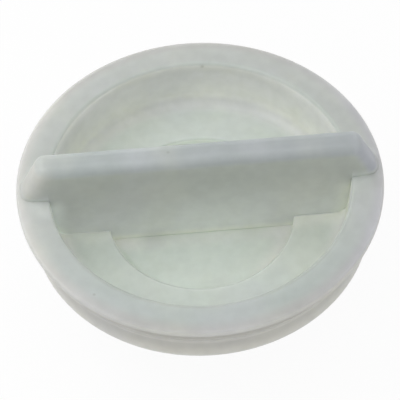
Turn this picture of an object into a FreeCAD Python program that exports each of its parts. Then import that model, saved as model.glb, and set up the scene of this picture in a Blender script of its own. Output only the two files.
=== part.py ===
import FreeCAD, Part
import os
import Sketcher

# Drain pump filter of a washing machine, in millimetres.
# +Z is up, out of the pump. The grip bar runs along X. The origin is the middle of the strainer's lower end.

doc = FreeCAD.newDocument("pump_filter")

# Driving sizes: name, millimetres or degrees, what it is.
SIZES = [
    ("collar_diameter", 66.0, "plug that slides into the mouth of the pump"),
    ("collar_length", 5.6, "straight part of the plug under the seal"),
    ("flange_overhang", 2.0, "how far the flange stands out past the plug"),
    ("flange_thickness", 1.4, "flange"),
    ("flange_round", 0.5, "round on the flange's upper edge"),
    ("rim_crown", 0.25, "how far the middle of the rim stands above its edges"),
    ("seal_section", 3.0, "thickness of the seal ring"),
    ("seal_play", 1.2, "height that the groove has beyond the seal"),
    ("seal_gap", 0.03, "gap between the seal and the root of its groove"),
    ("groove_depth", 2.2, "groove, inwards from the plug"),
    ("wall", 1.9, "side wall of the dish"),
    ("bowl_depth", 10.6, "rim down to the ledge"),
    ("bowl_draft", 2.5, "slope of the dish's side wall, degrees"),
    ("bowl_fillet", 2.5, "round between the dish's wall and its ledge"),
    ("mouth_round", 0.6, "round on the rim's inner edge"),
    ("ledge_width", 10.7, "dish's wall at the rim in to the recess"),
    ("recess_step", 3.0, "ledge down to the recess"),
    ("recess_round", 0.5, "rounds at the top and foot of the recess"),
    ("floor_thickness", 2.2, "floor of the dish and of the recess"),
    ("bar_height", 8.0, "grip bar above the rim"),
    ("bar_thickness", 5.85, "grip bar at the rim"),
    ("bar_draft", 1.0, "slope of the bar's sides, degrees"),
    ("bar_setback", 0.8, "flange's edge in to the foot of the bar"),
    ("bar_end_run", 4.0, "how far the sloped end leans in over the bar's height"),
    ("bar_round", 2.0, "round all along the bar's top edge"),
    ("bar_end_round", 2.1, "round on the upright edges of the bar's ends"),
    ("join", 0.7, "how deep the bar is sunk into the dish"),
    ("strainer_length", 12.0, "strainer below the floor of the recess"),
    ("strainer_wall", 2.2, "wall of the strainer"),
    ("strainer_ring", 2.2, "closed ring at the strainer's end"),
    ("slot_width", 3.2, "slot of the strainer"),
    ("slot_height", 7.2, "slot of the strainer"),
    ("slot_count", 16, "slots round the strainer"),
    ("lug_reach", 3.2, "locking lug, outwards from the strainer"),
    ("lug_height", 2.4, "locking lug"),
    ("lug_space", 2.2, "space between a lug and the dish's underside"),
    ("lug_angle", 34.0, "arc that one lug covers, degrees"),
    ("lug_count", 3, "locking lugs"),
    ("shoulder_round", 0.4, "round on the plug's shoulder under the seal"),
    ("edge_break", 0.4, "small bevel on the lower edges"),
]

sheet = doc.addObject("Spreadsheet::Sheet", "sizes")
for row, (alias, number, meaning) in enumerate(SIZES, start=1):
    sheet.set("A%d" % row, meaning)
    sheet.set("B%d" % row, str(number))
    sheet.setAlias("B%d" % row, alias)
doc.recompute()


def size(expression):
    """The number that an expression of the sheet's sizes gives."""
    return float(sheet.evalExpression(expression))


# Heights, upwards from the strainer's lower end.
FLOOR_UNDER = "(sizes.strainer_length)"
RECESS = "(%s + sizes.floor_thickness)" % FLOOR_UNDER
LEDGE = "(%s + sizes.recess_step)" % RECESS
LEDGE_UNDER = "(%s - sizes.floor_thickness)" % LEDGE
RIM = "(%s + sizes.bowl_depth)" % LEDGE
FLANGE_UNDER = "(%s - sizes.flange_thickness)" % RIM
COLLAR_TOP = "(%s - sizes.seal_section - sizes.seal_play)" % FLANGE_UNDER
COLLAR_END = "(%s - sizes.collar_length)" % COLLAR_TOP
BAR_TOP = "(%s + sizes.bar_height)" % RIM
BAR_UNDER = "(%s - sizes.join)" % RECESS
LUG_TOP = "(%s - sizes.lug_space)" % LEDGE_UNDER
LUG_UNDER = "(%s - sizes.lug_height)" % LUG_TOP
SLOT_TOP = "(sizes.strainer_ring + sizes.slot_height)"

# Radii, outwards from the axis.
R_COLLAR = "(sizes.collar_diameter / 2)"
R_FLANGE = "(%s + sizes.flange_overhang)" % R_COLLAR
R_GROOVE = "(%s - sizes.groove_depth)" % R_COLLAR
R_MOUTH = "(%s - sizes.wall)" % R_GROOVE
R_FOOT = "(%s - sizes.bowl_depth * tan(sizes.bowl_draft))" % R_MOUTH
R_BODY = "(%s + sizes.wall)" % R_FOOT
R_RECESS = "(%s - sizes.ledge_width)" % R_MOUTH
R_STRAINER = "(%s + sizes.strainer_wall)" % R_RECESS
R_BAR_FOOT = "(%s - sizes.bar_setback)" % R_FLANGE
R_BAR_TOP = "(%s - sizes.bar_end_run)" % R_BAR_FOOT
R_SEAL = "(%s + sizes.seal_gap + sizes.seal_section / 2)" % R_GROOVE


def bar_half(height):
    """Half of the bar's thickness at a height, with its drafted sides."""
    return "(sizes.bar_thickness / 2 + (%s - %s) * tan(sizes.bar_draft))" % (RIM, height)


def bar_end(height):
    """Radius of the bar's sloped end at a height."""
    return "(%s - (%s - %s) * sizes.bar_end_run / sizes.bar_height)" % (R_BAR_FOOT, height, RIM)


def origin_part(body, role):
    return [part for part in body.Origin.OriginFeatures if part.Role == role][0]


def outline(body, plane, name, corners, crowned=None, crown=None):
    """A closed sketch, each corner a pair of expressions held from the origin.

    Its edges are straight, but the one that leaves the corner numbered crowned is an arc that rises by crown.
    """
    sketch = body.newObject("Sketcher::SketchObject", name)
    sketch.AttachmentSupport = [(origin_part(body, plane), "")]
    sketch.MapMode = "FlatFace"
    points = [FreeCAD.Vector(size(across), size(up), 0) for across, up in corners]
    count = len(points)
    starts, ends = [1] * count, [2] * count
    for index, point in enumerate(points):
        following = points[(index + 1) % count]
        edge = Part.LineSegment(point, following)
        if index == crowned:
            peak = (point + following) * 0.5 + FreeCAD.Vector(0, size(crown), 0)
            edge = Part.Arc(following, peak, point)
            starts[index], ends[index] = 2, 1
        sketch.addGeometry(edge, False)
    for index in range(count):
        following = (index + 1) % count
        link = Sketcher.Constraint("Coincident", index, ends[index], following, starts[following])
        sketch.addConstraint(link)
    for index, (across, up) in enumerate(corners):
        corner = (index, starts[index])
        if abs(points[index].x) < 1e-9:
            sketch.addConstraint(Sketcher.Constraint("PointOnObject", *corner, -2))
        else:
            hold = Sketcher.Constraint("DistanceX", -1, 1, *corner, points[index].x)
            sketch.setExpression("Constraints[%d]" % sketch.addConstraint(hold), across)
        if abs(points[index].y) < 1e-9:
            sketch.addConstraint(Sketcher.Constraint("PointOnObject", *corner, -1))
        else:
            hold = Sketcher.Constraint("DistanceY", -1, 1, *corner, points[index].y)
            sketch.setExpression("Constraints[%d]" % sketch.addConstraint(hold), up)
    if crowned is not None:
        chord = "(%s - %s)" % (corners[(crowned + 1) % count][0], corners[crowned][0])
        radius = "(%s ^ 2 / 4 + %s ^ 2) / (2 * %s)" % (chord, crown, crown)
        hold = Sketcher.Constraint("Radius", crowned, size(radius))
        sketch.setExpression("Constraints[%d]" % sketch.addConstraint(hold), radius)
    return sketch


def turned(body, kind, name, sketch):
    """A revolution or a groove of a sketch about the plug's axis."""
    feature = body.newObject(kind, name)
    feature.Profile = sketch
    feature.ReferenceAxis = (sketch, ["V_Axis"])
    feature.Angle = 360
    return feature


def picked_edges(feature, wanted):
    """Names of those edges of a feature that a test picks."""
    doc.recompute()
    return ["Edge%d" % number for number, edge in enumerate(feature.Shape.Edges, start=1) if wanted(edge)]


def rounded(body, name, feature, radius, wanted):
    """A fillet on the picked edges of a feature."""
    picked = picked_edges(feature, wanted)
    fillet = body.newObject("PartDesign::Fillet", name)
    fillet.Base = (feature, picked)
    fillet.setExpression("Radius", radius)
    return fillet


def bevelled(body, name, feature, width, wanted):
    """A chamfer on the picked edges of a feature."""
    picked = picked_edges(feature, wanted)
    chamfer = body.newObject("PartDesign::Chamfer", name)
    chamfer.Base = (feature, picked)
    chamfer.setExpression("Size", width)
    return chamfer


def ring_edges(*rings):
    """A test for whole round edges at the given radii and heights."""
    places = [(size(radius), size(height)) for radius, height in rings]

    def wanted(edge):
        if not isinstance(edge.Curve, Part.Circle):
            return False
        centre = edge.Curve.Center
        for radius, height in places:
            if abs(edge.Curve.Radius - radius) < 1e-4 and abs(centre.z - height) < 1e-4:
                return True
        return False

    return wanted


def patterned(body, name, feature, count):
    """Copies of a feature spread evenly round the plug's axis."""
    pattern = body.newObject("PartDesign::PolarPattern", name)
    pattern.Originals = [feature]
    pattern.Axis = (origin_part(body, "Z_Axis"), [""])
    pattern.Angle = 360
    pattern.setExpression("Occurrences", count)
    body.Tip = pattern
    return pattern


# Dish: flange, seal groove, collar, stepped floor and the strainer's tube, turned from one section.
dish = doc.addObject("PartDesign::Body", "dish")
section = outline(dish, "XZ_Plane", "dish_section", [
    ("0", RECESS),
    (R_RECESS, RECESS),
    (R_RECESS, LEDGE),
    (R_FOOT, LEDGE),
    (R_MOUTH, RIM),
    (R_FLANGE, RIM),
    (R_FLANGE, FLANGE_UNDER),
    (R_GROOVE, FLANGE_UNDER),
    (R_GROOVE, COLLAR_TOP),
    (R_COLLAR, COLLAR_TOP),
    (R_COLLAR, COLLAR_END),
    (R_BODY, COLLAR_END),
    (R_BODY, LEDGE_UNDER),
    (R_STRAINER, LEDGE_UNDER),
    (R_STRAINER, "0"),
    (R_RECESS, "0"),
    (R_RECESS, FLOOR_UNDER),
    ("0", FLOOR_UNDER),
], crowned=4, crown="sizes.rim_crown")
shell = turned(dish, "PartDesign::Revolution", "dish_shell", section)
shell = rounded(dish, "flange_edge", shell, "sizes.flange_round", ring_edges((R_FLANGE, RIM)))
shell = rounded(dish, "mouth_edge", shell, "sizes.mouth_round", ring_edges((R_MOUTH, RIM)))
shell = rounded(dish, "bowl_corner", shell, "sizes.bowl_fillet", ring_edges((R_FOOT, LEDGE)))
shell = rounded(dish, "recess_edges", shell, "sizes.recess_round",
                ring_edges((R_RECESS, LEDGE), (R_RECESS, RECESS)))
shell = rounded(dish, "collar_shoulder", shell, "sizes.shoulder_round", ring_edges((R_COLLAR, COLLAR_TOP)))
shell = bevelled(dish, "lower_edges", shell, "sizes.edge_break",
                 ring_edges((R_FLANGE, FLANGE_UNDER), (R_COLLAR, COLLAR_END), (R_BODY, LEDGE_UNDER),
                            (R_STRAINER, "0"), (R_RECESS, "0")))

# How far a cutting outline runs past what it cuts.
PAST = "2"

# Strainer: one slot through the tube's wall, repeated round the axis.
slot_sketch = outline(dish, "XZ_Plane", "slot_outline", [
    ("-sizes.slot_width / 2", "sizes.strainer_ring"),
    ("sizes.slot_width / 2", "sizes.strainer_ring"),
    ("sizes.slot_width / 2", SLOT_TOP),
    ("-sizes.slot_width / 2", SLOT_TOP),
])
slot = dish.newObject("PartDesign::Pocket", "slot")
slot.Profile = slot_sketch
slot.setExpression("Length", "%s + %s" % (R_STRAINER, PAST))
slots = patterned(dish, "slots", slot, "sizes.slot_count")

# Locking lugs on the strainer's upper band.
lug_sketch = outline(dish, "XZ_Plane", "lug_section", [
    ("%s - sizes.strainer_wall / 2" % R_STRAINER, LUG_UNDER),
    ("%s + sizes.lug_reach" % R_STRAINER, LUG_UNDER),
    ("%s + sizes.lug_reach" % R_STRAINER, LUG_TOP),
    ("%s - sizes.strainer_wall / 2" % R_STRAINER, LUG_TOP),
])
lug = turned(dish, "PartDesign::Revolution", "lug", lug_sketch)
lug.Midplane = True
lug.setExpression("Angle", "sizes.lug_angle")
lugs = patterned(dish, "lugs", lug, "sizes.lug_count")

# Grip bar: a drafted blank along X, turned at its ends and foot to fit the dish and the rim.
bar = doc.addObject("PartDesign::Body", "grip_bar")
bar_sketch = outline(bar, "YZ_Plane", "bar_section", [
    ("-" + bar_half(BAR_UNDER), BAR_UNDER),
    (bar_half(BAR_UNDER), BAR_UNDER),
    (bar_half(BAR_TOP), BAR_TOP),
    ("-" + bar_half(BAR_TOP), BAR_TOP),
])
blank = bar.newObject("PartDesign::Pad", "bar_blank")
blank.Profile = bar_sketch
blank.SideType = "Symmetric"
blank.setExpression("Length", "2 * %s" % R_FLANGE)
ABOVE = "(%s + %s)" % (BAR_TOP, PAST)
BELOW = "(%s - %s)" % (BAR_UNDER, PAST)
OUTSIDE = "(%s + %s)" % (R_FLANGE, PAST)
SUNK_LEDGE = "(%s - sizes.join)" % LEDGE
SUNK_RIM = "(%s - sizes.join)" % RIM
end_sketch = outline(bar, "XZ_Plane", "bar_trim", [
    ("%s + sizes.join" % R_RECESS, BELOW),
    ("%s + sizes.join" % R_RECESS, SUNK_LEDGE),
    ("%s + sizes.join" % R_MOUTH, SUNK_LEDGE),
    ("%s + sizes.join" % R_MOUTH, SUNK_RIM),
    (bar_end(SUNK_RIM), SUNK_RIM),
    (bar_end(ABOVE), ABOVE),
    (OUTSIDE, ABOVE),
    (OUTSIDE, BELOW),
])
trimmed = turned(bar, "PartDesign::Groove", "bar_trimmed", end_sketch)


def on_bar_end(point):
    """Whether a point lies on the turned slope of the bar's end."""
    across = (point.x ** 2 + point.y ** 2) ** 0.5
    return abs(across - size(bar_end(str(point.z)))) < 1e-3


def upright_edge(edge):
    """An edge between a side of the bar and its sloped end."""
    points = [vertex.Point for vertex in edge.Vertexes]
    heights = [point.z for point in points]
    return max(heights) - min(heights) > 1 and all(on_bar_end(point) for point in points)


def top_edge(edge):
    """An edge of the bar's top."""
    return min(vertex.Point.z for vertex in edge.Vertexes) > size(BAR_TOP) - 1e-4


# Each round of the bar stays just within the width that it is made on.
WITHIN = "0.95"
END_ROUND = "min(sizes.bar_end_round; %s * %s)" % (WITHIN, bar_half(BAR_TOP))
TOP_ROUND = "min(sizes.bar_round; %s * %s)" % (WITHIN, END_ROUND)
ends = rounded(bar, "bar_end_edges", trimmed, END_ROUND, upright_edge)
rounded(bar, "bar_top_edges", ends, TOP_ROUND, top_edge)
doc.recompute()

# One moulding.
cap = doc.addObject("Part::Fuse", "filter_cap")
cap.Base = dish
cap.Tool = bar
cap.Refine = True
cap.Label = "filter_cap"
cap.Placement = FreeCAD.Placement(FreeCAD.Vector(0, 0, 0), FreeCAD.Rotation())

# Seal ring stretched round the root of its groove, midway up it.
seal = doc.addObject("Part::Torus", "seal_ring")
seal.Label = "seal_ring"
seal.setExpression("Radius1", R_SEAL)
seal.setExpression("Radius2", "sizes.seal_section / 2")
seal.setExpression("Placement.Base.z", "(%s + %s) / 2" % (COLLAR_TOP, FLANGE_UNDER))
doc.recompute()

for item in doc.Objects:
    if "Invalid" in item.State or "Error" in item.State:
        raise RuntimeError("%s did not compute" % item.Name)

os.makedirs("parts", exist_ok=True)
for piece in (cap, seal):
    if piece.Shape.isNull() or not piece.Shape.isValid() or len(piece.Shape.Solids) != 1:
        raise RuntimeError("%s is not one sound solid" % piece.Label)
    piece.Shape.exportStep("parts/%s.step" % piece.Label)
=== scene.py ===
import math

import bpy
from mathutils import Matrix, Vector


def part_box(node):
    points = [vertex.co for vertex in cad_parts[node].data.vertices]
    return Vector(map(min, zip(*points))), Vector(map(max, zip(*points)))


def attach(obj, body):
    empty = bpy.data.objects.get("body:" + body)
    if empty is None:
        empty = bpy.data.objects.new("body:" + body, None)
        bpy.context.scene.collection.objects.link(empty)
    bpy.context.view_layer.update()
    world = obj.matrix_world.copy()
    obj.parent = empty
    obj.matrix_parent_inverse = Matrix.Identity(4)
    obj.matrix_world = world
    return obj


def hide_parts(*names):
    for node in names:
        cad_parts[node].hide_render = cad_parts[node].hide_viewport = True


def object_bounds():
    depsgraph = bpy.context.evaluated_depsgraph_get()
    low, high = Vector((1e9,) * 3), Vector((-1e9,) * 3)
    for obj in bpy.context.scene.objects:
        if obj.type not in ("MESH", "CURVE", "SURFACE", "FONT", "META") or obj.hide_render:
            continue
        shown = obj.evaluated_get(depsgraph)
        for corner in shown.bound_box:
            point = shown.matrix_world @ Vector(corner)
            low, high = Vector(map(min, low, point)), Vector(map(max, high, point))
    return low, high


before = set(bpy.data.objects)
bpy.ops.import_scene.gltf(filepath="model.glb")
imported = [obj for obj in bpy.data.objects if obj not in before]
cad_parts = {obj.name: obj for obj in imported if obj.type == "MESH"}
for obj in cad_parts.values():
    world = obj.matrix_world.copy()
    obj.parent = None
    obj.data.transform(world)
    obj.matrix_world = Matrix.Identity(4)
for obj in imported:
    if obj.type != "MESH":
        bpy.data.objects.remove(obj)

# Drain pump filter of a washing machine, finished and lit as in a studio. Lengths are in metres.
MM = 0.001

CAD_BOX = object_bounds()
SEAL_LOW, SEAL_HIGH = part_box("seal_ring")

# Places on the moulding that its finish follows: radii from the axis, heights, and the grip bar's reach.
RIM_RADIUS = CAD_BOX[1].x
RIM_TOP = 27.8 * MM
FLANGE_UNDER = 26.4 * MM
MOUTH_RADIUS = 28.9 * MM
COLLAR_TOP = 22.2 * MM
LEDGE_TOP = 17.2 * MM
RECESS_TOP = 14.2 * MM
RECESS_RADIUS = 18.2 * MM
BAR_TOP = CAD_BOX[1].z
BAR_HALF = 3.3 * MM
BAR_END = 34.2 * MM
BAR_END_SLOPE = 0.51


class Graph:
    """Nodes of one tree, made and joined by short calls."""

    def __init__(self, tree):
        self.tree = tree

    def fill(self, node, inputs):
        """Give a node's inputs their numbers and colours, or join them to other nodes' outputs."""
        for name, value in inputs.items():
            if isinstance(value, bpy.types.NodeSocket):
                self.tree.links.new(value, node.inputs[name])
            else:
                node.inputs[name].default_value = value

    def node(self, kind, inputs=None, **settings):
        """A node with its settings and its inputs."""
        made = self.tree.nodes.new(kind)
        for name, value in settings.items():
            setattr(made, name, value)
        self.fill(made, inputs or {})
        return made

    def calc(self, operation, first, second=0.0):
        """A sum, a product or the like of two numbers."""
        return self.node("ShaderNodeMath", {0: first, 1: second}, operation=operation).outputs[0]

    def both(self, first, second):
        """The share where two shares hold together."""
        return self.calc("MULTIPLY", first, second)

    def either(self, first, second):
        """The larger of two shares."""
        return self.calc("MAXIMUM", first, second)

    def step(self, value, span, low=0.0, high=1.0):
        """A soft step of a value: low before a span, high after it."""
        inputs = {"Value": value, "From Min": span[0], "From Max": span[1], "To Min": low, "To Max": high}
        made = self.node("ShaderNodeMapRange", inputs, interpolation_type="SMOOTHSTEP", clamp=True)
        return made.outputs["Result"]

    def fall(self, value, span):
        """A soft step down: 1 before a span, 0 after it."""
        return self.step(value, span, 1.0, 0.0)

    def band(self, value, span, fade):
        """1 within a span, with a soft fade on both sides of it."""
        start, end = span
        return self.both(self.step(value, (start - fade, start)), self.fall(value, (end, end + fade)))

    def blend(self, share, first, second, mode="MIX"):
        """Two colours mixed by a share. A colour is an output or three numbers."""
        made = self.node("ShaderNodeMix", data_type="RGBA", blend_type=mode)
        colours = [
            colour if isinstance(colour, bpy.types.NodeSocket) else (*colour, 1.0)
            for colour in (first, second)
        ]
        self.fill(made, {0: share, 6: colours[0], 7: colours[1]})
        return made.outputs[2]

    def noise(self, point, size, detail):
        """A soft random field whose patches are about as large as size."""
        inputs = {"Vector": point, "Scale": 1 / size, "Detail": detail}
        return self.node("ShaderNodeTexNoise", inputs).outputs["Fac"]

    def away(self, point, spot):
        """How far a point is from a spot."""
        return self.node("ShaderNodeVectorMath", {0: point, 1: spot}, operation="DISTANCE").outputs["Value"]


def finish_material(name):
    """An empty material, its graph and its main shader."""
    material = bpy.data.materials.new(name)
    material.use_nodes = True
    material.node_tree.nodes.clear()
    graph = Graph(material.node_tree)
    shader = graph.node("ShaderNodeBsdfPrincipled")
    graph.node("ShaderNodeOutputMaterial", {"Surface": shader.outputs[0]})
    return material, graph, shader


# Natural plastic of the cap. Light soaks into it, and light and shade are also painted into its tint by
# place:
# painted light in the dish and where the bar joins it, against the shade there, and a cool painted
# reflection on the bar's top. Below, a pair of lengths is a span of radius, height, X or Y over which a
# tint fades in or out.
MOUTH_EDGE = (MOUTH_RADIUS - 0.05 * MM, MOUTH_RADIUS + 0.20 * MM)
# Painted light where the bar joins the dish's floor, and where it joins the rim, against the shade in
# these corners.
FOOT_PAINTED_LIGHT = (0.900, 0.925, 0.845)
BESIDE_FOOT = (BAR_HALF, BAR_HALF + 4.5 * MM)
ROOT_PAINTED_LIGHT = (0.640, 0.675, 0.645)


class CapPlace:
    """Where a point lies on the cap, as outputs that its tint and its painted light and shade are chosen
    by.
    """

    def __init__(self, graph):
        self.point = graph.node("ShaderNodeTexCoord").outputs["Object"]
        axes = graph.node("ShaderNodeSeparateXYZ", {"Vector": self.point}).outputs
        self.x = axes["X"]
        self.y = axes["Y"]
        self.height = axes["Z"]
        x_square = graph.calc("MULTIPLY", self.x, self.x)
        y_square = graph.calc("MULTIPLY", self.y, self.y)
        self.radius = graph.calc("SQRT", graph.calc("ADD", x_square, y_square))
        self.from_bar = graph.calc("ABSOLUTE", self.y)
        self.past_mouth = graph.step(self.radius, MOUTH_EDGE)
        self.within_mouth = graph.fall(self.radius, MOUTH_EDGE)
        self.near_foot = graph.fall(self.from_bar, BESIDE_FOOT)
        self.to_right_end = graph.step(self.x, (-BAR_END, BAR_END))


# Rim: the flange's top and side, and the lip round the mouth. Painted shade darkens its front, its outer
# edge, more and cooler on the right, and the lip; painted light brightens its left edge, and a painted
# highlight the flange's side.
FLANGE_HEIGHTS = (FLANGE_UNDER - 0.4 * MM, FLANGE_UNDER + 0.7 * MM)
MOUTH_ROUND = (MOUTH_RADIUS - 0.9 * MM, MOUTH_RADIUS - 0.4 * MM)
MOUTH_ROUND_HEIGHTS = (RIM_TOP - 0.75 * MM, RIM_TOP - 0.05 * MM)
RIM_TINT = (0.502, 0.526, 0.506)
# Painted shade on the rim's front.
RIM_FRONT_PAINTED_SHADE = (0.482, 0.526, 0.506)
RIM_FRONT = (-27 * MM, -6 * MM)
# Painted shade on the rim's outer edge, cooler on the right, and painted light on its left.
RIM_EDGE_PAINTED_SHADE = (0.440, 0.440, 0.434)
RIM_EDGE = (RIM_RADIUS - 3.0 * MM, RIM_RADIUS - 0.4 * MM)
RIM_RIGHT_EDGE_PAINTED_SHADE = (0.452, 0.455, 0.480)
RIM_RIGHT = (12 * MM, 33 * MM)
RIM_LEFT_EDGE_PAINTED_LIGHT = (0.520, 0.520, 0.506)
RIM_LEFT = (-32 * MM, -18 * MM)
# A painted highlight on the flange's side.
FLANGE_SIDE_PAINTED_HIGHLIGHT = (0.518, 0.517, 0.498)
FLANGE_SIDE = (RIM_RADIUS - 0.18 * MM, RIM_RADIUS - 0.03 * MM)
# Painted shade on the lip round the mouth, deeper at the front.
LIP_PAINTED_SHADE = (0.482, 0.517, 0.490)
LIP_FRONT_PAINTED_SHADE = (0.410, 0.443, 0.418)
LIP = (MOUTH_RADIUS, MOUTH_RADIUS + 0.5 * MM)
LIP_FADE = 0.6 * MM
# The rim takes the root's painted light beside the bar, and a little of it round the bar's toe, against the
# shade there.
RIM_BESIDE_BAR = (BAR_HALF, BAR_HALF + 5 * MM)
RIM_INSIDE = (MOUTH_RADIUS + 2.0 * MM, RIM_RADIUS - 1.5 * MM)
RIM_BESIDE_TOE = (BAR_HALF - 1 * MM, BAR_HALF + 2 * MM)
RIM_BEYOND_TOE = (RIM_RADIUS - 1.0 * MM, RIM_RADIUS - 0.3 * MM)
RIM_TOE_SHARE = 0.24


def rim_layer(graph, at):
    """The rim's share of a point, and its tint there, with its painted light and shade."""
    on_flange = graph.both(at.past_mouth, graph.step(at.height, FLANGE_HEIGHTS))
    on_mouth = graph.both(graph.step(at.radius, MOUTH_ROUND), graph.step(at.height, MOUTH_ROUND_HEIGHTS))
    edge_light_and_shade = graph.blend(graph.step(at.x, RIM_RIGHT), RIM_EDGE_PAINTED_SHADE, RIM_RIGHT_EDGE_PAINTED_SHADE)
    edge_light_and_shade = graph.blend(graph.fall(at.x, RIM_LEFT), edge_light_and_shade, RIM_LEFT_EDGE_PAINTED_LIGHT)
    in_front = graph.fall(at.y, RIM_FRONT)
    tint = graph.blend(in_front, RIM_TINT, RIM_FRONT_PAINTED_SHADE)
    tint = graph.blend(graph.step(at.radius, RIM_EDGE), tint, edge_light_and_shade)
    tint = graph.blend(graph.step(at.radius, FLANGE_SIDE), tint, FLANGE_SIDE_PAINTED_HIGHLIGHT)
    lip_shade = graph.blend(in_front, LIP_PAINTED_SHADE, LIP_FRONT_PAINTED_SHADE)
    tint = graph.blend(graph.band(at.radius, LIP, LIP_FADE), tint, lip_shade)
    near_bar = graph.both(graph.fall(at.from_bar, RIM_BESIDE_BAR), graph.fall(at.radius, RIM_INSIDE))
    near_toe = graph.both(graph.fall(at.from_bar, RIM_BESIDE_TOE), graph.fall(at.radius, RIM_BEYOND_TOE))
    near_root = graph.either(near_bar, graph.both(near_toe, RIM_TOE_SHARE))
    return graph.either(on_flange, on_mouth), graph.blend(near_root, tint, ROOT_PAINTED_LIGHT)


# Grip bar: painted light at its foot and where it joins the dish's wall, against the shade there, darker
# above, and a cool painted reflection on its top, with painted shade towards its right end.
BAR_SIDE = (BAR_HALF, BAR_HALF + 0.1 * MM)
BAR_OVER_RIM = (RIM_TOP + 0.5 * MM, RIM_TOP + 1.2 * MM)
BAR_OVER_RECESS = (RECESS_TOP, RECESS_TOP + 0.4 * MM)
# Painted light low on the bar, fading to the plastic's own tint above.
BAR_LOW_PAINTED_LIGHT = (0.766, 0.791, 0.769)
BAR_HIGH_TINT = (0.496, 0.526, 0.487)
BAR_LOW_TO_HIGH = (RECESS_TOP, BAR_TOP - 4 * MM)
BAR_FOOT = (RECESS_TOP, RECESS_TOP + 2 * MM)
# A cool painted reflection on the bar's top, with painted shade towards its right end.
BAR_TOP_PAINTED_REFLECTION = (0.418, 0.456, 0.453)
BAR_TOP_RIGHT_PAINTED_SHADE = (0.403, 0.432, 0.443)
BAR_TOP_ROUND = (BAR_TOP - 2.3 * MM, BAR_TOP - 0.9 * MM)
# Painted light where the bar joins the dish's wall, weaker on the right.
JOIN_PAINTED_LIGHT = (0.850, 0.890, 0.862)
BAR_NEAR_WALL = (MOUTH_RADIUS - 3.9 * MM, MOUTH_RADIUS - 0.5 * MM)
BAR_BELOW_RIM = (RIM_TOP - 3.2 * MM, RIM_TOP + 0.6 * MM)
JOIN_LEFT_SHARE = 1.0
JOIN_RIGHT_SHARE = 0.60
BAR_ROOT = (RIM_TOP, RIM_TOP + 2.5 * MM)
BAR_TOE = (RIM_TOP + 0.2 * MM, RIM_TOP + 1.3 * MM)
# The sloped ends: painted light on the left end and painted shade on the right end, each weaker on the
# bar's top.
BAR_LEFT_PAINTED_LIGHT = (0.556, 0.564, 0.532)
BAR_LEFT_END = (BAR_END - 5.0 * MM, BAR_END - 0.6 * MM)
BAR_RIGHT_PAINTED_SHADE = (0.444, 0.464, 0.498)
BAR_RIGHT_END = (BAR_END - 2.6 * MM, BAR_END - 0.6 * MM)
BAR_END_TOP = (BAR_TOP - 1.6 * MM, BAR_TOP - 0.2 * MM)
BAR_END_TOP_SHARE = 0.4


def bar_layer(graph, at):
    """The grip bar's share of a point, and its tint there, with its painted light, shade and reflection."""
    in_dish = graph.both(at.within_mouth, graph.step(at.height, BAR_OVER_RECESS))
    stands = graph.either(graph.step(at.height, BAR_OVER_RIM), in_dish)
    on_bar = graph.both(graph.fall(at.from_bar, BAR_SIDE), stands)
    tint = graph.blend(graph.step(at.height, BAR_LOW_TO_HIGH), BAR_LOW_PAINTED_LIGHT, BAR_HIGH_TINT)
    tint = graph.blend(graph.fall(at.height, BAR_FOOT), tint, FOOT_PAINTED_LIGHT)
    top_reflection_and_shade = graph.blend(at.to_right_end, BAR_TOP_PAINTED_REFLECTION, BAR_TOP_RIGHT_PAINTED_SHADE)
    tint = graph.blend(graph.step(at.height, BAR_TOP_ROUND), tint, top_reflection_and_shade)
    at_wall = graph.both(graph.step(at.radius, BAR_NEAR_WALL), graph.fall(at.height, BAR_BELOW_RIM))
    join_share = graph.step(at.x, (-RIM_RADIUS, RIM_RADIUS), JOIN_LEFT_SHARE, JOIN_RIGHT_SHARE)
    join_light = graph.blend(at.to_right_end, JOIN_PAINTED_LIGHT, FOOT_PAINTED_LIGHT)
    tint = graph.blend(graph.both(graph.both(at_wall, join_share), at.within_mouth), tint, join_light)
    tint = graph.blend(graph.both(at.past_mouth, graph.fall(at.height, BAR_ROOT)), tint, ROOT_PAINTED_LIGHT)
    lean = graph.calc("MULTIPLY", graph.calc("SUBTRACT", at.height, RIM_TOP), BAR_END_SLOPE)
    below_top = graph.step(at.height, BAR_END_TOP, 1.0, BAR_END_TOP_SHARE)
    for towards, end, end_light_and_shade in (
        ("SUBTRACT", BAR_LEFT_END, BAR_LEFT_PAINTED_LIGHT),
        ("ADD", BAR_RIGHT_END, BAR_RIGHT_PAINTED_SHADE),
    ):
        at_end = graph.step(graph.calc(towards, lean, at.x), end)
        tint = graph.blend(graph.both(at_end, below_top), tint, end_light_and_shade)
    at_toe = graph.both(at.past_mouth, graph.fall(at.height, BAR_TOE))
    return on_bar, graph.blend(at_toe, tint, ROOT_PAINTED_LIGHT)


# Dish: its upright wall, with painted light against the dish's shade and painted shade near the top at the
# back, and the ledge on its floor with the corner under the wall, both with painted light against the
# shade.
# The ledge's front edge over the recess has painted shade, more so on the left.
DISH_WALL = (MOUTH_RADIUS - 1.0 * MM, MOUTH_RADIUS - 0.3 * MM)
# Painted light on the wall, and painted shade near its top at the back.
WALL_PAINTED_LIGHT = (0.847, 0.860, 0.818)
WALL_TOP_PAINTED_SHADE = (0.713, 0.724, 0.688)
WALL_BACK = (20 * MM, 27 * MM)
WALL_TOP_HEIGHTS = (RIM_TOP - 3.3 * MM, RIM_TOP - 1 * MM)
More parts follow.
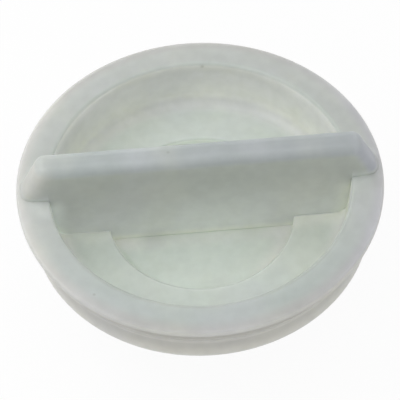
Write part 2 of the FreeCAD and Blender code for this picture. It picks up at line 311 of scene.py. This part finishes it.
# Painted light on the ledge, stronger in the corner under the wall, and painted shade on its front edge.
LEDGE_PAINTED_LIGHT = (0.601, 0.648, 0.610)
LEDGE_FOOT_LEFT_SHARE = 0.40
LEDGE_FOOT_RIGHT_SHARE = 0.75
CORNER_PAINTED_LIGHT = (0.737, 0.751, 0.734)
DISH_CORNER = (MOUTH_RADIUS - 4.4 * MM, MOUTH_RADIUS - 1.3 * MM)
LEDGE_EDGE_PAINTED_SHADE = (0.490, 0.528, 0.498)
LEDGE_EDGE = (RECESS_RADIUS + 0.05 * MM, RECESS_RADIUS + 0.35 * MM)
LEDGE_EDGE_FADE = 0.15 * MM
LEDGE_EDGE_TO_RIGHT = (-4 * MM, 10 * MM)
LEDGE_EDGE_RIGHT_SHARE = 0.6
LEDGE_EDGE_FRONT = (-12 * MM, -4 * MM)


def wall_layer(graph, at):
    """The share of the dish's wall in a point, and its painted light and shade there."""
    on_wall = graph.both(at.within_mouth, graph.step(at.radius, DISH_WALL))
    near_top = graph.both(graph.step(at.y, WALL_BACK), graph.step(at.height, WALL_TOP_HEIGHTS))
    tint = graph.blend(near_top, WALL_PAINTED_LIGHT, WALL_TOP_PAINTED_SHADE)
    return on_wall, graph.blend(at.near_foot, tint, FOOT_PAINTED_LIGHT)


def ledge_light_and_shade(graph, at):
    """The painted light of the ledge and of the corner round it, with painted shade on the ledge's front
    edge.
    """
    tint = graph.blend(graph.step(at.radius, DISH_CORNER), LEDGE_PAINTED_LIGHT, CORNER_PAINTED_LIGHT)
    left_to_right = (-RECESS_RADIUS, RECESS_RADIUS)
    foot_share = graph.step(at.x, left_to_right, LEDGE_FOOT_LEFT_SHARE, LEDGE_FOOT_RIGHT_SHARE)
    tint = graph.blend(graph.both(at.near_foot, foot_share), tint, FOOT_PAINTED_LIGHT)
    edge_share = graph.both(
        graph.step(at.x, LEDGE_EDGE_TO_RIGHT, 1.0, LEDGE_EDGE_RIGHT_SHARE),
        graph.fall(at.y, LEDGE_EDGE_FRONT),
    )
    at_edge = graph.both(graph.band(at.radius, LEDGE_EDGE, LEDGE_EDGE_FADE), edge_share)
    return graph.blend(at_edge, tint, LEDGE_EDGE_PAINTED_SHADE)


# Recess: its floor and its low wall, with painted light against the shade in them, stronger at the bar's
# foot and in the nook on the right.
RECESS_FLOOR = (RECESS_RADIUS - 0.5 * MM, RECESS_RADIUS - 0.2 * MM)
# Painted light on the recess's floor and wall.
RECESS_PAINTED_LIGHT = (0.713, 0.791, 0.715)
RECESS_FOOT_OUTWARDS = (11 * MM, 16.5 * MM)
RECESS_FOOT_MIDDLE_SHARE = 0.45
NOOK = (RECESS_RADIUS - 4.2 * MM, RECESS_RADIUS - 0.4 * MM)
NOOK_TO_RIGHT = (5 * MM, 15 * MM)
RECESS_WALL_PAINTED_LIGHT = (0.780, 0.830, 0.770)
RECESS_WALL = (RECESS_RADIUS - 0.2 * MM, RECESS_RADIUS + 0.1 * MM)
RECESS_WALL_FADE = 0.3 * MM
RECESS_WALL_HEIGHTS = (RECESS_TOP + 0.5 * MM, LEDGE_TOP - 0.6 * MM)
RECESS_WALL_HEIGHT_FADE = 0.4 * MM


def recess_layer(graph, at):
    """The share of the recess's floor in a point, and its painted light there."""
    foot_share = graph.step(at.radius, RECESS_FOOT_OUTWARDS, RECESS_FOOT_MIDDLE_SHARE, 1.0)
    tint = graph.blend(graph.both(at.near_foot, foot_share), RECESS_PAINTED_LIGHT, FOOT_PAINTED_LIGHT)
    in_nook = graph.both(graph.step(at.radius, NOOK), graph.step(at.x, NOOK_TO_RIGHT))
    return graph.fall(at.radius, RECESS_FLOOR), graph.blend(in_nook, tint, FOOT_PAINTED_LIGHT)


def recess_wall_layer(graph, at):
    """The share of the recess's wall in a point, and its painted light there."""
    on_wall = graph.both(
        graph.band(at.radius, RECESS_WALL, RECESS_WALL_FADE),
        graph.band(at.height, RECESS_WALL_HEIGHTS, RECESS_WALL_HEIGHT_FADE),
    )
    return on_wall, graph.blend(at.near_foot, RECESS_WALL_PAINTED_LIGHT, FOOT_PAINTED_LIGHT)


# Outside and below: the collar, with painted light on it that is less near its top, under the flange's
# shade, a painted highlight on the shoulder between it and the seal's groove, and the underside.
# Painted light on the collar, with painted shade near its top under the flange.
COLLAR_PAINTED_LIGHT = (0.673, 0.666, 0.624)
COLLAR_HIGH_PAINTED_SHADE = (0.591, 0.587, 0.549)
COLLAR_HEIGHTS = (COLLAR_TOP - 4.2 * MM, COLLAR_TOP - 1.4 * MM)
SHOULDER_PAINTED_HIGHLIGHT = (0.660, 0.655, 0.615)
SHOULDER = (COLLAR_TOP - 0.7 * MM, COLLAR_TOP)
SHOULDER_FADE = 0.4 * MM
UNDER_TINT = (0.605, 0.632, 0.592)
UNDER_RECESS = (RECESS_TOP - 1.6 * MM, RECESS_TOP - 0.8 * MM)
UNDER_LEDGE = (LEDGE_TOP - 1.6 * MM, LEDGE_TOP - 0.8 * MM)
PAST_RECESS = (RECESS_RADIUS + 0.4 * MM, RECESS_RADIUS + 0.8 * MM)


def shoulder_layer(graph, at):
    """The shoulder's share of a point, and its painted highlight."""
    on_shoulder = graph.both(at.past_mouth, graph.band(at.height, SHOULDER, SHOULDER_FADE))
    return on_shoulder, SHOULDER_PAINTED_HIGHLIGHT


def underside_layer(graph, at):
    """The share of the underside in a point, and its tint."""
    under_ledge = graph.both(graph.step(at.radius, PAST_RECESS), graph.fall(at.height, UNDER_LEDGE))
    return graph.either(graph.fall(at.height, UNDER_RECESS), under_ledge), UNDER_TINT


def cap_tint_with_painted_light(graph, at):
    """The cap's colour by place, with its painted light and shade: the ledge and the collar, with the other
    places laid over them in turn.
    """
    collar_light_and_shade = graph.blend(graph.step(at.height, COLLAR_HEIGHTS), COLLAR_PAINTED_LIGHT, COLLAR_HIGH_PAINTED_SHADE)
    colour = graph.blend(at.past_mouth, ledge_light_and_shade(graph, at), collar_light_and_shade)
    for layer in (
        shoulder_layer,
        wall_layer,
        rim_layer,
        recess_layer,
        recess_wall_layer,
        bar_layer,
        underside_layer,
    ):
        share, tint = layer(graph, at)
        colour = graph.blend(share, colour, tint)
    return colour


# Clouds in the plastic, lilac and then straw: their size, the span of noise over which they rise, their
# greatest share, the shift of their noise, and their tint. A fine mottle darkens and lightens all of it.
CLOUDS = [
    (17 * MM, (0.48, 0.72), 0.25, (0.0, 0.0, 0.0), (0.590, 0.600, 0.640)),
    (14 * MM, (0.50, 0.75), 0.22, (0.31, 0.17, 0.05), (0.650, 0.665, 0.580)),
]
CLOUD_DETAIL = 2.0
MOTTLE_SIZE = 2.2 * MM
MOTTLE_DETAIL = 3.0
MOTTLE_SPAN = (0.25, 0.75)
MOTTLE_DARK = 0.965
MOTTLE_LIGHT = 1.03


def clouded(graph, point, colour):
    """A colour with faint clouds and a fine mottle."""
    for size, span, most, shift, tint in CLOUDS:
        shifted = graph.node("ShaderNodeMapping", {"Vector": point, "Location": shift}).outputs[0]
        share = graph.step(graph.noise(shifted, size, CLOUD_DETAIL), span, 0.0, most)
        colour = graph.blend(share, colour, tint)
    mottle = graph.noise(point, MOTTLE_SIZE, MOTTLE_DETAIL)
    level = graph.step(mottle, MOTTLE_SPAN, MOTTLE_DARK, MOTTLE_LIGHT)
    grey = graph.node("ShaderNodeCombineColor", {"Red": level, "Green": level, "Blue": level}).outputs[0]
    return graph.blend(1.0, colour, grey, "MULTIPLY")


# A faint grey patch in the recess, beside the bar's foot.
GREY_PATCH_TINT = (0.590, 0.605, 0.590)
GREY_PATCH_SHARE = 0.42
GREY_PATCH_CORE = 0.1
GREY_PATCH_PLACE = Vector((-9.8, -4.2, 14.2)) * MM
GREY_PATCH_REACH = 3.8 * MM
# Dark grains caught in the plastic: where they lie, and how far they reach.
GRAIN_TINT = (0.330, 0.340, 0.320)
GRAIN_SHARE = 0.55
GRAIN_CORE = 0.2
GRAINS = [
    (Vector((-5.7, 0.2, 35.8)) * MM, 0.45 * MM),
    (Vector((2.85, 28.75, 27.15)) * MM, 0.55 * MM),
    (Vector((-21.1, -24.9, 28.05)) * MM, 0.40 * MM),
]


def spotted(graph, point, colour):
    """A colour with the grey patch and the grains in it, each full in its core and faded out at its reach.
    """
    spots = [(GREY_PATCH_PLACE, GREY_PATCH_REACH, GREY_PATCH_CORE, GREY_PATCH_SHARE, GREY_PATCH_TINT)]
    spots += [(place, reach, GRAIN_CORE, GRAIN_SHARE, GRAIN_TINT) for place, reach in GRAINS]
    for place, reach, core, most, tint in spots:
        share = graph.step(graph.away(point, place), (core * reach, reach), most, 0.0)
        colour = graph.blend(share, colour, tint)
    return colour


# Skin of the moulding: a fine texture, light scratches along the bar's direction and slight sink marks.
TEXTURE_SIZE = 0.55 * MM
TEXTURE_DETAIL = 3.0
TEXTURE_SPAN = (0.2, 0.8)
SKIN_SMOOTH = 0.40
SKIN_ROUGH = 0.54
SKIN_STRENGTH = 0.22
SKIN_DEPTH = 0.02 * MM
SCRATCHES_PER_METRE = (40.0, 1800.0, 1800.0)
SCRATCH_DETAIL = 2.0
SCRATCH_SPAN = (0.62, 0.75)
SCRATCH_ROUGHNESS = 0.06
SCRATCH_SHARE = 0.4
SINK_SIZE = 9 * MM
SINK_DETAIL = 1.0
SINK_STRENGTH = 0.25
SINK_DEPTH = 0.10 * MM


def moulded_skin(graph, point):
    """The roughness and the normal of the moulding's skin."""
    texture = graph.noise(point, TEXTURE_SIZE, TEXTURE_DETAIL)
    drawn_out = graph.node("ShaderNodeMapping", {"Vector": point, "Scale": SCRATCHES_PER_METRE}).outputs[0]
    scratches = graph.noise(drawn_out, 1.0, SCRATCH_DETAIL)
    rough = graph.calc(
        "ADD",
        graph.step(texture, TEXTURE_SPAN, SKIN_SMOOTH, SKIN_ROUGH),
        graph.step(scratches, SCRATCH_SPAN, 0.0, SCRATCH_ROUGHNESS),
    )
    sink = graph.node("ShaderNodeBump", {
        "Strength": SINK_STRENGTH,
        "Distance": SINK_DEPTH,
        "Height": graph.noise(point, SINK_SIZE, SINK_DETAIL),
    })
    skin = graph.node("ShaderNodeBump", {
        "Strength": SKIN_STRENGTH,
        "Distance": SKIN_DEPTH,
        "Height": graph.calc("ADD", texture, graph.calc("MULTIPLY", scratches, SCRATCH_SHARE)),
        "Normal": sink.outputs[0],
    })
    return rough, skin.outputs[0]


# How the plastic shines, and how far red, green and blue light spread in it.
PLASTIC_SPECULAR = 0.40
PLASTIC_IOR = 1.49
LIGHT_SPREAD = (1.0, 1.0, 0.9)
LIGHT_REACH = 4.5 * MM


def natural_plastic():
    """Milky plastic with painted light and shade by place, faint clouds, a few grains and a fine moulded
    skin.
    """
    material, graph, shader = finish_material("natural_plastic_with_painted_light")
    at = CapPlace(graph)
    colour = clouded(graph, at.point, cap_tint_with_painted_light(graph, at))
    rough, normal = moulded_skin(graph, at.point)
    graph.fill(shader, {
        "Base Color": spotted(graph, at.point, colour),
        "Roughness": rough,
        "Normal": normal,
        "Specular IOR Level": PLASTIC_SPECULAR,
        "IOR": PLASTIC_IOR,
        "Subsurface Weight": 1.0,
        "Subsurface Radius": LIGHT_SPREAD,
        "Subsurface Scale": LIGHT_REACH,
    })
    return material


# Pale rubber of the seal, with a dusty bloom.
RUBBER_TINT = (0.538, 0.532, 0.492)
RUBBER_DUST = (0.599, 0.595, 0.557)
RUBBER_SPECULAR = 0.35
RUBBER_SMOOTH = 0.55
RUBBER_ROUGH = 0.70
RUBBER_GRAIN_SIZE = 0.35 * MM
RUBBER_GRAIN_DETAIL = 2.0
RUBBER_GRAIN_SPAN = (0.2, 0.8)
RUBBER_GRAIN_STRENGTH = 0.3
RUBBER_GRAIN_DEPTH = 0.02 * MM
BLOOM_SIZE = 6 * MM
BLOOM_DETAIL = 3.0
BLOOM_SPAN = (0.40, 0.70)


def pale_rubber():
    """Matt rubber with a dusty bloom and a fine grain."""
    material, graph, shader = finish_material("pale_rubber_finish")
    point = graph.node("ShaderNodeTexCoord").outputs["Object"]
    bloom = graph.step(graph.noise(point, BLOOM_SIZE, BLOOM_DETAIL), BLOOM_SPAN)
    grain = graph.noise(point, RUBBER_GRAIN_SIZE, RUBBER_GRAIN_DETAIL)
    skin = graph.node("ShaderNodeBump", {
        "Strength": RUBBER_GRAIN_STRENGTH,
        "Distance": RUBBER_GRAIN_DEPTH,
        "Height": grain,
    })
    graph.fill(shader, {
        "Base Color": graph.blend(bloom, RUBBER_TINT, RUBBER_DUST),
        "Roughness": graph.step(grain, RUBBER_GRAIN_SPAN, RUBBER_SMOOTH, RUBBER_ROUGH),
        "Normal": skin.outputs[0],
        "Specular IOR Level": RUBBER_SPECULAR,
    })
    return material


# Seal ring: a round section swept round the groove, with the fine line that its mould leaves inside and
# outside. The line's half width is a share of the section's radius.
MOULD_LINE = 0.05 * MM
MOULD_LINE_SPAN = (0.0, 0.10)
RING_POINTS = 192
SECTION_POINTS = 48


def seal_sweep():
    """The geometry nodes that sweep the seal's section."""
    tree = bpy.data.node_groups.new("seal_sweep", "GeometryNodeTree")
    for name, kind in (
        ("Ring radius", "NodeSocketFloat"),
        ("Section radius", "NodeSocketFloat"),
        ("Height", "NodeSocketFloat"),
        ("Mould line", "NodeSocketFloat"),
        ("Ring points", "NodeSocketInt"),
        ("Section points", "NodeSocketInt"),
        ("Rubber", "NodeSocketMaterial"),
    ):
        tree.interface.new_socket(name, in_out="INPUT", socket_type=kind)
    tree.interface.new_socket("Geometry", in_out="OUTPUT", socket_type="NodeSocketGeometry")
    graph = Graph(tree)
    given = graph.node("NodeGroupInput").outputs
    ring = graph.node("GeometryNodeCurvePrimitiveCircle", {
        "Resolution": given["Ring points"],
        "Radius": given["Ring radius"],
    })
    lift = graph.node("ShaderNodeCombineXYZ", {"Z": given["Height"]})
    raised = graph.node("GeometryNodeSetPosition", {
        "Geometry": ring.outputs["Curve"],
        "Offset": lift.outputs[0],
    })
    section = graph.node("GeometryNodeCurvePrimitiveCircle", {
        "Resolution": given["Section points"],
        "Radius": given["Section radius"],
    })
    point = graph.node("GeometryNodeInputPosition").outputs[0]
    parts = graph.node("ShaderNodeSeparateXYZ", {"Vector": point})
    off_line = graph.calc("ABSOLUTE", graph.calc("DIVIDE", parts.outputs["Y"], given["Section radius"]))
    ridge = graph.calc("MULTIPLY", graph.fall(off_line, MOULD_LINE_SPAN), given["Mould line"])
    outwards = graph.node("ShaderNodeVectorMath", {0: point}, operation="NORMALIZE").outputs[0]
    bulge = graph.node("ShaderNodeVectorMath", {0: outwards, "Scale": ridge}, operation="SCALE").outputs[0]
    ridged = graph.node("GeometryNodeSetPosition", {
        "Geometry": section.outputs["Curve"],
        "Offset": bulge,
    })
    swept = graph.node("GeometryNodeCurveToMesh", {
        "Curve": raised.outputs[0],
        "Profile Curve": ridged.outputs[0],
        "Fill Caps": False,
    })
    smooth = graph.node("GeometryNodeSetShadeSmooth", {"Geometry": swept.outputs[0]})
    dressed = graph.node("GeometryNodeSetMaterial", {
        "Geometry": smooth.outputs[0],
        "Material": given["Rubber"],
    })
    whole = graph.node("GeometryNodeRealizeInstances", {"Geometry": dressed.outputs[0]})
    graph.node("NodeGroupOutput", {"Geometry": whole.outputs[0]})
    return tree


def grown_piece(name, tree, values):
    """A plain mesh that a tree of geometry nodes makes from its named inputs."""
    seed = bpy.data.objects.new(name + "_nodes", bpy.data.meshes.new(name + "_nodes"))
    bpy.context.scene.collection.objects.link(seed)
    modifier = seed.modifiers.new("grow", "NODES")
    modifier.node_group = tree
    for item in tree.interface.items_tree:
        if item.in_out == "INPUT":
            modifier[item.identifier] = values[item.name]
    seen = seed.evaluated_get(bpy.context.evaluated_depsgraph_get())
    piece = bpy.data.objects.new(name, bpy.data.meshes.new_from_object(seen))
    bpy.data.objects.remove(seed)
    bpy.context.scene.collection.objects.link(piece)
    return piece


def seal():
    """The seal in its groove, where the moulding holds it."""
    section = (SEAL_HIGH.z - SEAL_LOW.z) / 2
    piece = grown_piece("seal", seal_sweep(), {
        "Ring radius": SEAL_HIGH.x - section,
        "Section radius": section,
        "Height": (SEAL_HIGH.z + SEAL_LOW.z) / 2,
        "Mould line": MOULD_LINE,
        "Ring points": RING_POINTS,
        "Section points": SECTION_POINTS,
        "Rubber": pale_rubber(),
    })
    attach(piece, "root")
    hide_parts("seal_ring")


# Studio: a white floor, even fill from all round, a wide lamp overhead and a small soft one on the left.
WHITE = (1.0, 1.0, 1.0, 1.0)
FLOOR_REACH = 3.0
FLOOR_TINT = (0.90, 0.90, 0.90, 1.0)
FLOOR_GLOW_SHARE = 0.94
FILL_STRENGTH = 0.68
LAMP_AIM = Vector((0.0, 0.0, 0.02))
# Each lamp: its place, its side and its power in watts.
LAMPS = {
    "overhead_lamp": (Vector((0.0, 0.02, 0.58)), 0.60, 0.50),
    "left_lamp": (Vector((-0.11, 0.035, 0.16)), 0.12, 0.093),
}


def seen_directly(graph):
    """1 where a thing is seen straight, by a mirror or through glass, and 0 where it lights others."""
    path = graph.node("ShaderNodeLightPath").outputs
    seen = graph.either(path["Is Camera Ray"], path["Is Glossy Ray"])
    return graph.either(seen, path["Is Transmission Ray"])


def floor_paper():
    """White paper that keeps a shadow, and is clear from below."""
    material = bpy.data.materials.new("studio_floor")
    material.use_nodes = True
    material.node_tree.nodes.clear()
    graph = Graph(material.node_tree)
    paper = graph.node("ShaderNodeBsdfDiffuse", {"Color": FLOOR_TINT})
    glow = graph.node("ShaderNodeEmission", {"Color": WHITE, "Strength": 1.0})
    share = graph.both(seen_directly(graph), FLOOR_GLOW_SHARE)
    top = graph.node("ShaderNodeMixShader", {0: share, 1: paper.outputs[0], 2: glow.outputs[0]})
    clear = graph.node("ShaderNodeBsdfTransparent")
    from_below = graph.node("ShaderNodeNewGeometry").outputs["Backfacing"]
    sheet = graph.node("ShaderNodeMixShader", {0: from_below, 1: top.outputs[0], 2: clear.outputs[0]})
    graph.node("ShaderNodeOutputMaterial", {"Surface": sheet.outputs[0]})
    return material


def studio_floor():
    """The floor that the filter stands on."""
    mesh = bpy.data.meshes.new("studio_floor")
    reach = FLOOR_REACH
    corners = [(-reach, -reach, 0.0), (reach, -reach, 0.0), (reach, reach, 0.0), (-reach, reach, 0.0)]
    mesh.from_pydata(corners, [], [(0, 1, 2, 3)])
    mesh.materials.append(floor_paper())
    floor = bpy.data.objects.new("studio_floor", mesh)
    bpy.context.scene.collection.objects.link(floor)


def studio_fill():
    """Even light from all round, white where it is seen itself."""
    world = bpy.data.worlds.new("studio_fill")
    world.use_nodes = True
    world.node_tree.nodes.clear()
    graph = Graph(world.node_tree)
    fill = graph.node("ShaderNodeBackground", {"Color": WHITE, "Strength": FILL_STRENGTH})
    white = graph.node("ShaderNodeBackground", {"Color": WHITE, "Strength": 1.0})
    share = seen_directly(graph)
    sky = graph.node("ShaderNodeMixShader", {0: share, 1: fill.outputs[0], 2: white.outputs[0]})
    graph.node("ShaderNodeOutputWorld", {"Surface": sky.outputs[0]})
    bpy.context.scene.world = world


def studio_lamps():
    """Square lamps that face the filter."""
    for name, (place, side, power) in LAMPS.items():
        light = bpy.data.lights.new(name, "AREA")
        light.shape = "SQUARE"
        light.size = side
        light.energy = power
        lamp = bpy.data.objects.new(name, light)
        lamp.location = place
        lamp.rotation_mode = "QUATERNION"
        lamp.rotation_quaternion = (LAMP_AIM - place).to_track_quat("-Z", "Y")
        bpy.context.scene.collection.objects.link(lamp)


# Camera, fitted to the outline, the mouth's edge and the grip bar in a picture of 400 by 400 pixels.
# The sensor's side is in the camera's own millimetres, and the rim's centre lies between its edges' height
# and its crown.
PICTURE_SIDE = 400.0
FOCAL_PIXELS = 1481.0
SENSOR_SIDE = 36.0
VIEW_AZIMUTH = math.radians(-2.96)
VIEW_ELEVATION = math.radians(52.15)
VIEW_ROLL = math.radians(-2.22)
VIEW_DISTANCE = 8.06 * RIM_RADIUS
RIM_CENTRE = Vector((0.0, 0.0, 27.9 * MM))
RIM_CENTRE_PIXEL = (199.7, 176.8)
NEAREST_SEEN = 0.01
FARTHEST_SEEN = 10.0


def picture_camera():
    """A camera that sees the rim's centre at its pixel, turned a little rather than shifted."""
    back = Vector((
        math.sin(VIEW_AZIMUTH) * math.cos(VIEW_ELEVATION),
        -math.cos(VIEW_AZIMUTH) * math.cos(VIEW_ELEVATION),
        math.sin(VIEW_ELEVATION),
    ))
    place = RIM_CENTRE + back * VIEW_DISTANCE
    aside = math.atan((RIM_CENTRE_PIXEL[0] - PICTURE_SIDE / 2) / FOCAL_PIXELS)
    above = math.atan((PICTURE_SIDE / 2 - RIM_CENTRE_PIXEL[1]) / FOCAL_PIXELS)
    turned = (-back).to_track_quat("-Z", "Y").to_matrix() @ Matrix.Rotation(VIEW_ROLL, 3, "Z")
    turned = turned @ Matrix.Rotation(aside, 3, "Y") @ Matrix.Rotation(-above, 3, "X")
    data = bpy.data.cameras.new("picture_camera")
    data.sensor_width = SENSOR_SIDE
    data.lens = SENSOR_SIDE * FOCAL_PIXELS / PICTURE_SIDE
    data.clip_start = NEAREST_SEEN
    data.clip_end = FARTHEST_SEEN
    camera = bpy.data.objects.new("picture_camera", data)
    camera.matrix_world = Matrix.Translation(place) @ turned.to_4x4()
    bpy.context.scene.collection.objects.link(camera)
    bpy.context.scene.camera = camera


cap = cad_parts["filter_cap"]
cap.data.materials.clear()
cap.data.materials.append(natural_plastic())
seal()
studio_floor()
studio_fill()
studio_lamps()
picture_camera()
bpy.context.scene.view_settings.view_transform = "Standard"
